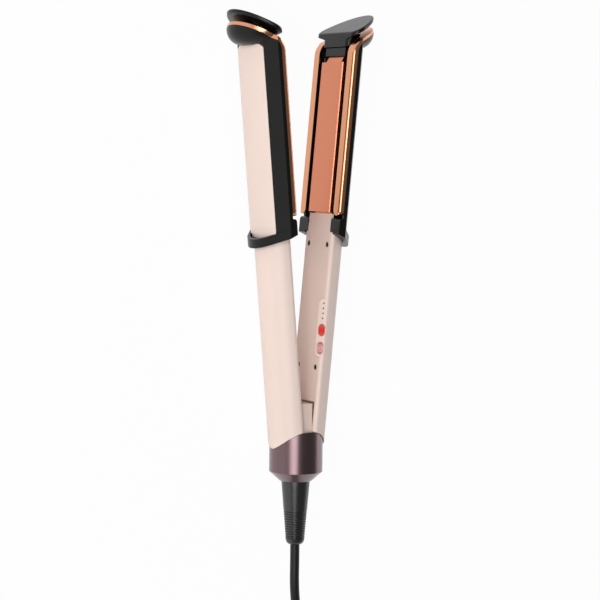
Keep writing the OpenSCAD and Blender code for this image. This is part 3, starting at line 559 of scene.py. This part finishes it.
def hank_place(i):
    """The hank's middle line at ring i, which may be a fraction."""
    turns_left = CLIMB_START - i if i < CLIMB_START else max(0.0, i - CLIMB_END)
    r = HANK_INNER_R + HANK_STEP / LOOP_RINGS * turns_left
    climb = min(max((i - CLIMB_START) / RUN_RINGS, 0.0), 1.0)
    z = CORD_R + HANK_RISE * (1 - math.cos(math.pi * climb)) / 2
    k = i % LOOP_RINGS
    if k <= RUN_RINGS:
        t = k / RUN_RINGS
        x, y = r - HANK_WAIST * waist(t), HANK_NEAR - HANK_RUN * t
        z += HANK_LIFT * waist(t)
    elif k < HALF_LOOP:
        a = math.pi * (k - RUN_RINGS) / BEND_RINGS
        x, y = r * math.cos(a), HANK_NEAR - HANK_RUN - r * math.sin(a)
    elif k <= HALF_LOOP + RUN_RINGS:
        t = (k - HALF_LOOP) / RUN_RINGS
        x, y = HANK_WAIST * waist(t) - r, HANK_NEAR - HANK_RUN * (1 - t)
        z += HANK_LIFT * waist(t)
    else:
        a = math.pi * (1 + (k - HALF_LOOP - RUN_RINGS) / BEND_RINGS)
        x, y = r * math.cos(a), HANK_NEAR - r * math.sin(a)
    return Vector((x + HANK_X, y, z))


def smooth_line(points):
    """A smooth curve through points, with points of its own between them."""
    p = [Vector(q) for q in points]
    p = [p[0] * 2 - p[1], *p, p[-1] * 2 - p[-2]]
    line = []
    for a, b, c, d in zip(p, p[1:], p[2:], p[3:]):
        for s in range(CURVE_STEPS):
            t = s / CURVE_STEPS
            line.append(0.5 * (2 * b + (c - a) * t + (2 * a - 5 * b + 4 * c - d) * t * t
                               + (3 * b - a - 3 * c + d) * t ** 3))
    return [*line, p[-2]]


def cord_line():
    """The whole route, in metres, without points that fall on one another."""
    hank = [hank_place(i / RING_POINTS) for i in range(HANK_END * RING_POINTS + 1)]
    line = [p * MM for p in smooth_line(LEAD) + hank + smooth_line(TAIL)]
    same_point = 1e-5
    return [p for i, p in enumerate(line)
            if i == 0 or (p - line[i - 1]).length > same_point]


# ---------------------------------------------------------------- settings

# The photograph's view: from how far, how wide the picture is there and where it looks
FITTED_DISTANCE, FIELD_WIDTH, SENSOR_WIDTH = 1.4, 0.384, 36
CAMERA_TARGET = Vector((1.75, HINGE_Y + 102.4, AXIS_Z)) * MM


def colour_setting(name, text, value):
    """A colour that the panel shows, with its name, what it is for and its default."""
    return bpy.props.FloatVectorProperty(
        name=name, description=text, subtype="COLOR", size=4, min=0, max=1, default=value)


class StraightenerFinish(bpy.types.PropertyGroup):
    """Colours of the finishes."""

    shell: colour_setting("Shell", "Handles, covers and outer panels", rgb(242, 220, 209))
    housing: colour_setting("Housing", "Black housings and tip caps", rgb(18, 18, 17))
    trim: colour_setting("Trim", "Copper rails beside the plates", rgb(226, 160, 122))
    plate: colour_setting("Plates", "Coated plates", rgb(216, 134, 102))
    cup: colour_setting("Cup", "Anodised base cup", rgb(116, 93, 97))
    rubber: colour_setting("Strain relief", "Strain relief and plug", rgb(22, 22, 22))
    cord: colour_setting("Cord", "Mains cord", rgb(22, 22, 23))
    panel: colour_setting("Control panel", "Panel around the buttons", rgb(250, 232, 222))
    # The two button colours are the bright middles of a painted highlight, darker towards each
    # button's ends
    power: colour_setting("Power button", "Rosy power button", rgb(232, 186, 188))
    mode: colour_setting("Mode button", "Lit red button", rgb(214, 40, 34))


class StraightenerCord(bpy.types.PropertyGroup):
    """Facts of the mains cord."""

    length: bpy.props.FloatProperty(
        name="Length", description="Length of the whole cord", default=2.40, min=1.5, max=3.5,
        unit="LENGTH")
    diameter: bpy.props.FloatProperty(
        name="Diameter", description="Diameter of the cord", default=0.006, min=0.004,
        max=0.008, unit="LENGTH")


class StraightenerStage(bpy.types.PropertyGroup):
    """Camera and lamps."""

    distance: bpy.props.FloatProperty(
        name="Distance", description="From the camera to the tool", default=FITTED_DISTANCE,
        min=0.5, max=5, unit="LENGTH")
    azimuth: bpy.props.FloatProperty(
        name="Azimuth", description="Camera's swing about the tool's length",
        default=math.radians(31), subtype="ANGLE")
    elevation: bpy.props.FloatProperty(
        name="Elevation", description="Camera's lean towards the tips",
        default=math.radians(4.12), subtype="ANGLE")
    roll: bpy.props.FloatProperty(
        name="Roll", description="Camera's roll", default=math.radians(0.66), subtype="ANGLE")
    key: bpy.props.FloatProperty(
        name="Key lamp", description="Power of the key lamp", default=15.0, min=0,
        unit="POWER")
    world: bpy.props.FloatProperty(
        name="Surround", description="Strength of the surround overhead", default=0.16, min=0)


# ---------------------------------------------------------------- operators

class StageCamera(bpy.types.Operator):
    """Places the camera at the photograph's view"""
    bl_idname = "straightener.camera"
    bl_label = "Camera"

    def execute(self, context):
        stage = context.scene.straightener_stage
        side, lean, roll = stage.azimuth, stage.elevation, stage.roll
        away = Vector((-math.sin(side) * math.cos(lean), math.sin(lean),
                       math.cos(side) * math.cos(lean)))
        right = Vector((math.cos(side), 0, math.sin(side)))
        up = away.cross(right)
        right, up = (right * math.cos(roll) + up * math.sin(roll),
                     up * math.cos(roll) - right * math.sin(roll))
        data = bpy.data.cameras.new("view")
        data.sensor_width = SENSOR_WIDTH
        data.lens = SENSOR_WIDTH * FITTED_DISTANCE / FIELD_WIDTH
        data.clip_start, data.clip_end = 0.05, 20
        camera = linked("view", data)
        camera.matrix_world = facing(CAMERA_TARGET + away * stage.distance, right, up, away)
        context.scene.camera = camera
        return {"FINISHED"}


class MakeFinishes(bpy.types.Operator):
    """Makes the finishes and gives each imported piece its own"""
    bl_idname = "straightener.finishes"
    bl_label = "Finishes"

    def execute(self, context):
        group = context.scene.straightener_finish
        make_all_finishes({name: tuple(getattr(group, name)) for name in group.__annotations__})
        for entry in frame["record"]["subparts"]:
            node = frame["nodes"].get(entry["node"])
            if node is None:
                raise RuntimeError("no node " + entry["node"])
            # The brackets show beside the tongue; their warm colour, in place of their slot's bare
            # steel, is a painted reflection
            bracket = entry["node"].endswith("hinge_bracket")
            finish = material("bracket_steel" if bracket else entry["material_slot"])
            if not node.data.materials:
                node.data.materials.append(finish)
            for slot in node.material_slots:
                slot.material = finish
        return {"FINISHED"}


class MouldPlug(bpy.types.Operator):
    """Moulds the plug's body with its grip and cord sleeve"""
    bl_idname = "straightener.plug"
    bl_label = "Plug"

    # From the cord to the pins: how far along, how wide and how high, in millimetres
    SLICES = (
        (0.0, 8.6, 8.4), (-0.4, 9.6, 8.9), (-1.6, 9.6, 8.9), (-1.9, 8.6, 8.2), (-2.7, 8.6, 8.2),
        (-3.0, 10.4, 9.4), (-4.2, 10.6, 9.5), (-4.5, 9.4, 8.8), (-5.3, 9.5, 8.9),
        (-5.6, 12.0, 10.4), (-7.0, 14.0, 11.0), (-9.5, 19.4, 11.6), (-13.0, 27.0, 12.4),
        (-16.5, 32.4, 13.1), (-20.0, 34.6, 13.5), (-24.0, 35.0, 13.6), (-28.0, 35.0, 13.6),
        (-33.0, 35.0, 13.5), (-35.2, 34.4, 13.0), (-35.9, 33.2, 12.0), (-36.04, 31.0, 10.0),
    )

    def execute(self, context):
        at = Vector(TAIL[-1])
        bm = bmesh.new()
        loft(bm, [[(at + Vector((x, y, z))) * MM for x, z in slot_ring(width, height)]
                  for y, width, height in self.SLICES])
        piece("plug_moulding", bm, "relief_rubber", "base", ("plug_body",))
        return {"FINISHED"}


class MakeStrap(bpy.types.Operator):
    """Makes the strap that holds the hank together"""
    bl_idname = "straightener.strap"
    bl_label = "Hank strap"

    # The radius of its corners, its thickness and the round of its long edges, in millimetres
    CORNER_R, THICK, EDGE = 3.7, 0.8, 0.15

    def execute(self, context):
        low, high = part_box("cord_tie")
        low, high = low / MM, high / MM
        centre = (low + high) / 2
        width, height, half = high.x - low.x, high.z - low.z, (high.y - low.y) / 2
        near, far, thick, edge = -half + self.EDGE, half - self.EDGE, self.THICK, self.EDGE
        section = ((-half, edge), (near, 0.0), (far, 0.0), (half, edge),
                   (half, thick - edge), (far, thick), (near, thick), (-half, thick - edge))
        rings = [[Vector((centre.x + x, centre.y + y, centre.z + z)) * MM
                  for x, z in strap_ring(width, height, self.CORNER_R, inset)]
                 for y, inset in section]
        bm = bmesh.new()
        loft(bm, rings + [rings[0]], closed_ends=False)
        bmesh.ops.remove_doubles(bm, verts=bm.verts, dist=1e-7)
        piece("hank_strap", bm, "strap_fabric", "base", ("cord_tie",))
        return {"FINISHED"}


class WindCord(bpy.types.Operator):
    """Lays the mains cord: straight out, down, and wound into its hank"""
    bl_idname = "straightener.cord"
    bl_label = "Cord"

    def execute(self, context):
        facts = context.scene.straightener_cord
        line = cord_line()
        curve = bpy.data.curves.new("mains_cord", "CURVE")
        curve.dimensions = "3D"
        curve.bevel_depth = facts.diameter / 2
        curve.bevel_resolution = 4
        curve.use_fill_caps = True
        spline = curve.splines.new("POLY")
        spline.points.add(len(line) - 1)
        for point, place in zip(spline.points, line):
            point.co = (*place, 1)
        spline.use_smooth = True
        cord = settled("mains_cord", curve, "cord_rubber", "base",
                       ("cord_lead", "cord_hank", "cord_tail"))
        return {"FINISHED"}


class ShapeTips(bpy.types.Operator):
    """Shapes the tip caps with their rounded rims, dished undersides and necks"""
    bl_idname = "straightener.tips"
    bl_label = "Tip caps"

    # From the top down: each ring's radius, its flat side's distance from the plane between the
    # arms, the radius of its corners and its depth under the top, in millimetres
    LEVELS = (
        (23.5, 2.0, 3.4, 0.0), (24.6, 1.1, 4.2, 0.04), (25.15, 0.7, 4.7, 0.2),
        (25.42, 0.54, 4.95, 0.5), (25.5, 0.5, 5.0, 0.85), (25.5, 0.5, 5.0, 1.9),
        (25.4, 0.56, 4.95, 2.2), (25.1, 0.75, 4.8, 2.4), (24.4, 0.85, 4.7, 2.6),
        (22.6, 1.0, 4.6, 3.0), (19.6, 1.0, 4.6, 3.6), (18.2, 1.0, 4.4, 4.1),
        (17.4, 1.0, 3.6, 4.6), (16.9, 1.0, 3.4, 5.2), (16.5, 1.0, 3.0, 5.8),
        (16.5, 1.0, 3.0, 7.8),
    )
    CRISP = math.radians(50)

    def execute(self, context):
        for side, arm in ((1, "right"), (-1, "left")):
            to_world = arm_matrix(side)
            bm = bmesh.new()
            loft(bm, [[to_world @ p for p in cap_ring(*level)] for level in self.LEVELS])
            piece(arm + "_tip_cap_moulding", bm, "black_housing", arm + "_arm",
                  (arm + "_tip_cap",), crisp=self.CRISP)
        return {"FINISHED"}


class SkinArms(bpy.types.Operator):
    """Rounds the edges of the arms' outer pieces as their moulds and presses leave them"""
    bl_idname = "straightener.arms"
    bl_label = "Arm pieces"

    # Each piece's finish, and in millimetres the round of its edges and of its outer corners
    PIECES = (
        ("housing", "black_housing", 0.45, 0.0), ("trim_frame", "copper_trim", 0.25, 1.8),
        ("outer_panel", "pink_shell", 0.5, 0.0), ("handle_shell", "pink_shell", 0.2, 0.0),
        ("handle_cover", "pink_shell", 0.35, 0.0), ("plate", "copper_plate", 0.12, 0.0),
    )

    def execute(self, context):
        for arm in ("right", "left"):
            for node, finish, width, rolled in self.PIECES:
                name = arm + "_" + node
                body = arm + ("_floating_plate" if node == "plate" else "_arm")
                piece(name + "_finished", eased(name, width * MM, rolled * MM), finish, body,
                      (name,))
        return {"FINISHED"}


class MouldRelief(bpy.types.Operator):
    """Moulds the strain relief: its flange, its taper, its rings and its rounded end"""
    bl_idname = "straightener.relief"
    bl_label = "Strain relief"

    # In millimetres: the flange in the cup and the neck in its mouth, along and out
    FLANGE = ((-123.26, 10.6), (-123.56, 10.9), (-127.36, 10.9), (-127.66, 10.6),
              (-127.66, 9.2), (-129.36, 9.2))
    # The taper, from the cup's end: where it starts, its length, its radius and how much it loses
    TAPER_START, TAPER_LENGTH, TAPER_R, TAPER_LOSS = -129.365, 41.5, 9.2, 3.4
    TAPER_STOPS = (-134.0, -139.0, -144.0)
    # The rings: where they start, how far apart and how many; one ring, along and in, from its
    # groove; and how far before the first one the taper is still smooth
    RING_START, RING_PITCH, RINGS = -149.3, 1.58, 11
    RING = ((0.0, 0.75), (0.34, 0.75), (0.42, 0.16), (0.6, 0.0), (1.3, 0.0), (1.48, 0.16),
            (1.57, 0.75))
    SMOOTH_BEFORE = 0.25
    # The rounded end: the radius of its flat face, the step from the last ring and the turns of
    # the round, in degrees
    FACE_R, END_STEP = 3.5, 0.05
    END_TURNS = (15, 30, 45, 60, 75, 90)

    def taper(self, y):
        """The relief's radius at a place along it."""
        return self.TAPER_R - self.TAPER_LOSS * (self.TAPER_START - y) / self.TAPER_LENGTH

    def profile(self):
        """Places along the relief and its radius there, from the flange to the end."""
        line = list(self.FLANGE)
        line += [(y, self.taper(y))
                 for y in (*self.TAPER_STOPS, self.RING_START + self.SMOOTH_BEFORE)]
        for i in range(self.RINGS):
            top = self.RING_START - i * self.RING_PITCH
            line += [(top - down, self.taper(top - down) - inset) for down, inset in self.RING]
        last = self.RING_START - self.RINGS * self.RING_PITCH
        end = self.TAPER_START - self.TAPER_LENGTH
        shoulder, round_r = last - self.END_STEP, self.taper(last) - self.FACE_R
        line.append((shoulder, self.taper(last)))
        for turn in self.END_TURNS:
            a = math.radians(turn)
            line.append((shoulder - (shoulder - end) * math.sin(a),
                         self.FACE_R + round_r * math.cos(a)))
        return line

    def execute(self, context):
        bm = bmesh.new()
        loft(bm, [[p * MM for p in round_ring(r, y)] for y, r in self.profile()])
        piece("strain_relief_moulding", bm, "relief_rubber", "cord_swivel", ("strain_relief",))
        return {"FINISHED"}


class SkinBase(bpy.types.Operator):
    """Rounds the edges of the cup, the tongue, the control panel and the buttons"""
    bl_idname = "straightener.base"
    bl_label = "Base pieces"

    # Each piece's finish, its body and the round of its edges in millimetres
    PIECES = (
        ("base_cup", "mauve_cup", "base", 0.25), ("hinge_block", "pink_shell", "base", 0.4),
        ("control_panel", "panel_gloss", "right_arm", 0.35),
        ("power_button", "rose_button", "power_button", 0.35),
        ("mode_button", "red_button", "mode_button", 0.35),
    )

    def execute(self, context):
        for node, finish, body, width in self.PIECES:
            piece(node + "_finished", eased(node, width * MM), finish, body, (node,))
        return {"FINISHED"}


class MarkPower(bpy.types.Operator):
    """Raises the usual ring and bar on the power button"""
    bl_idname = "straightener.power_mark"
    bl_label = "Power mark"

    # In the arm's frame and in millimetres: the tilt of the button's face, its middle and how
    # far the mark's foot lies out from that; the stroke's half width and height
    TILT = math.radians(21.5)
    MIDDLE, FOOT = (3.1, 72.9, 11.9), 0.3
    HALF_STROKE, HEIGHT = 0.17, 0.07
    # The ring's radius and its turns in degrees, open at the top, and the bar's points
    RING_R, RING_TURNS = 1.25, range(40, 321, 14)
    BAR = ((0, 0.45), (0, 1.05), (0, 1.65))

    def stroke(self, bm, points):
        """A flat band with square sides along points on the button's face."""
        out = Vector((-math.cos(self.TILT), 0, math.sin(self.TILT)))
        across = Vector((math.sin(self.TILT), 0, math.cos(self.TILT)))
        foot = Vector(self.MIDDLE) + out * self.FOOT
        to_world = arm_matrix(1)
        rows = []
        for i, (x, y) in enumerate(points):
            before, after = points[max(i - 1, 0)], points[min(i + 1, len(points) - 1)]
            run = Vector((after[0] - before[0], after[1] - before[1])).normalized()
            side = Vector((-run.y, run.x)) * self.HALF_STROKE
            corners = ((x + side.x, y + side.y, 0.0), (x + side.x, y + side.y, self.HEIGHT),
                       (x - side.x, y - side.y, self.HEIGHT), (x - side.x, y - side.y, 0.0))
            rows.append([to_world @ (foot + across * u + LENGTHWISE * v + out * w)
                         for u, v, w in corners])
        loft(bm, rows)

    def execute(self, context):
        bm = bmesh.new()
        turns = [math.radians(turn) for turn in self.RING_TURNS]
        self.stroke(bm, [(self.RING_R * math.sin(a), self.RING_R * math.cos(a)) for a in turns])
        self.stroke(bm, self.BAR)
        piece("power_mark", bm, "icon_ink", "power_button")
        return {"FINISHED"}


class SetStage(bpy.types.Operator):
    """Sets the pale floor, the soft lamps and the white surround"""
    bl_idname = "straightener.stage"
    bl_label = "Stage"

    # The floor: half its width and its drop under the tool, in metres; its paper's two greys, and
    # how much of it shows as plain white, which leaves the rest to the tool's shadow
    FLOOR_HALF, FLOOR_DROP = 4.0, 0.0002
    PAPER = (0.93, 0.95)
    WHITE_SHARE = 0.96
    # Heights of a direction between which the surround goes from white to its strength overhead
    HORIZON = (0.2, 0.42)
    # Each lamp's place, its size across and along the tool, and its share of the key's power
    LAMPS = (
        ("key", (-0.98, 0.06, 1.26), (0.8, 1.3), 1.0),
        ("side", (-1.1, 0.2, 0.7), (0.4, 1.0), 0.1),
        ("back", (1.4, 0.2, 0.3), (0.4, 1.0), 0.15),
    )
    LAMP_TARGET = (0, 0, 0.03)

    def lay_floor(self):
        """A sheet that shows as white to the camera and in gloss, and takes the shadow."""
        floor = Finish("floor")
        camera_ray = floor.add("ShaderNodeLightPath", output="Is Camera Ray")
        glossy_ray = floor.add("ShaderNodeLightPath", output="Is Glossy Ray")
        seen = floor.add("ShaderNodeMath", {"operation": "MAXIMUM"}, [camera_ray, glossy_ray])
        paper = floor.noise(floor.place(), scale=3.0, detail=2.0)
        matt = floor.add("ShaderNodeBsdfPrincipled", {}, {
            "Base Color": floor.mixed(paper, *map(grey, self.PAPER)), "Roughness": 0.9})
        white = floor.add("ShaderNodeEmission", {}, {"Color": grey(1.0), "Strength": 1.0})
        both = floor.add("ShaderNodeMixShader", {}, [seen * self.WHITE_SHARE, matt, white])
        floor.add("ShaderNodeOutputMaterial", {}, {"Surface": both})
        mesh = bpy.data.meshes.new("floor")
        bm = bmesh.new()
        bmesh.ops.create_grid(bm, x_segments=4, y_segments=4, size=self.FLOOR_HALF)
        bmesh.ops.translate(bm, verts=bm.verts, vec=(0, 0, -self.FLOOR_DROP))
        bm.to_mesh(mesh)
        bm.free()
        mesh.materials.append(floor.material)
        linked("floor", mesh)

    def hang_surround(self, scene, overhead):
        """White near the horizon, and dimmer overhead."""
        scene.world = bpy.data.worlds.new("surround")
        sky = Finish("surround", scene.world)
        height = sky.part(sky.place("Generated"), "Z")
        strength = sky.add("ShaderNodeMapRange", {"interpolation_type": "SMOOTHSTEP"},
                           [height, *self.HORIZON, 1.0, overhead])
        backdrop = sky.add("ShaderNodeBackground", {}, {
            "Color": grey(1.0), "Strength": strength})
        sky.add("ShaderNodeOutputWorld", {}, {"Surface": backdrop})

    def place_lamps(self, key):
        """Three soft lamps that face the tool, their long sides along it."""
        for name, place, size, share in self.LAMPS:
            data = bpy.data.lights.new(name, "AREA")
            data.shape = "RECTANGLE"
            data.size, data.size_y = size
            data.energy = key * share
            away = (Vector(place) - Vector(self.LAMP_TARGET)).normalized()
            along = (LENGTHWISE - away * away.y).normalized()
            lamp = linked(name, data)
            lamp.matrix_world = facing(Vector(place), along.cross(away), along, away)

    def execute(self, context):
        stage = context.scene.straightener_stage
        self.lay_floor()
        self.hang_surround(context.scene, stage.world)
        self.place_lamps(stage.key)
        context.scene.view_settings.view_transform = "Standard"
        return {"FINISHED"}


class StraightenerPanel(bpy.types.Panel):
    """Steps and settings of the straightener's looks"""
    bl_idname = "VIEW3D_PT_straightener"
    bl_label = "Hair straightener"
    bl_space_type = "VIEW_3D"
    bl_region_type = "UI"
    bl_category = "Straightener"

    def draw(self, context):
        for pointer, _ in GROUPS:
            group = getattr(context.scene, pointer)
            box = self.layout.box()
            for name in group.__annotations__:
                box.prop(group, name)
        for step in STEPS:
            self.layout.operator(step.bl_idname)


STEPS = (StageCamera, MakeFinishes, MouldPlug, MakeStrap, WindCord, ShapeTips, SkinArms,
         MouldRelief, SkinBase, MarkPower, SetStage)
GROUPS = (("straightener_finish", StraightenerFinish), ("straightener_cord", StraightenerCord),
          ("straightener_stage", StraightenerStage))


def register():
    for name, group in GROUPS:
        bpy.utils.register_class(group)
        setattr(bpy.types.Scene, name, bpy.props.PointerProperty(type=group))
    for cls in (*STEPS, StraightenerPanel):
        bpy.utils.register_class(cls)


def unregister():
    for cls in reversed((*STEPS, StraightenerPanel)):
        bpy.utils.unregister_class(cls)
    for name, group in reversed(GROUPS):
        delattr(bpy.types.Scene, name)
        bpy.utils.unregister_class(group)


def main():
    register()
    for step in STEPS:
        group, name = step.bl_idname.split(".")
        getattr(getattr(bpy.ops, group), name)()


if __name__ == "__main__":
    main()
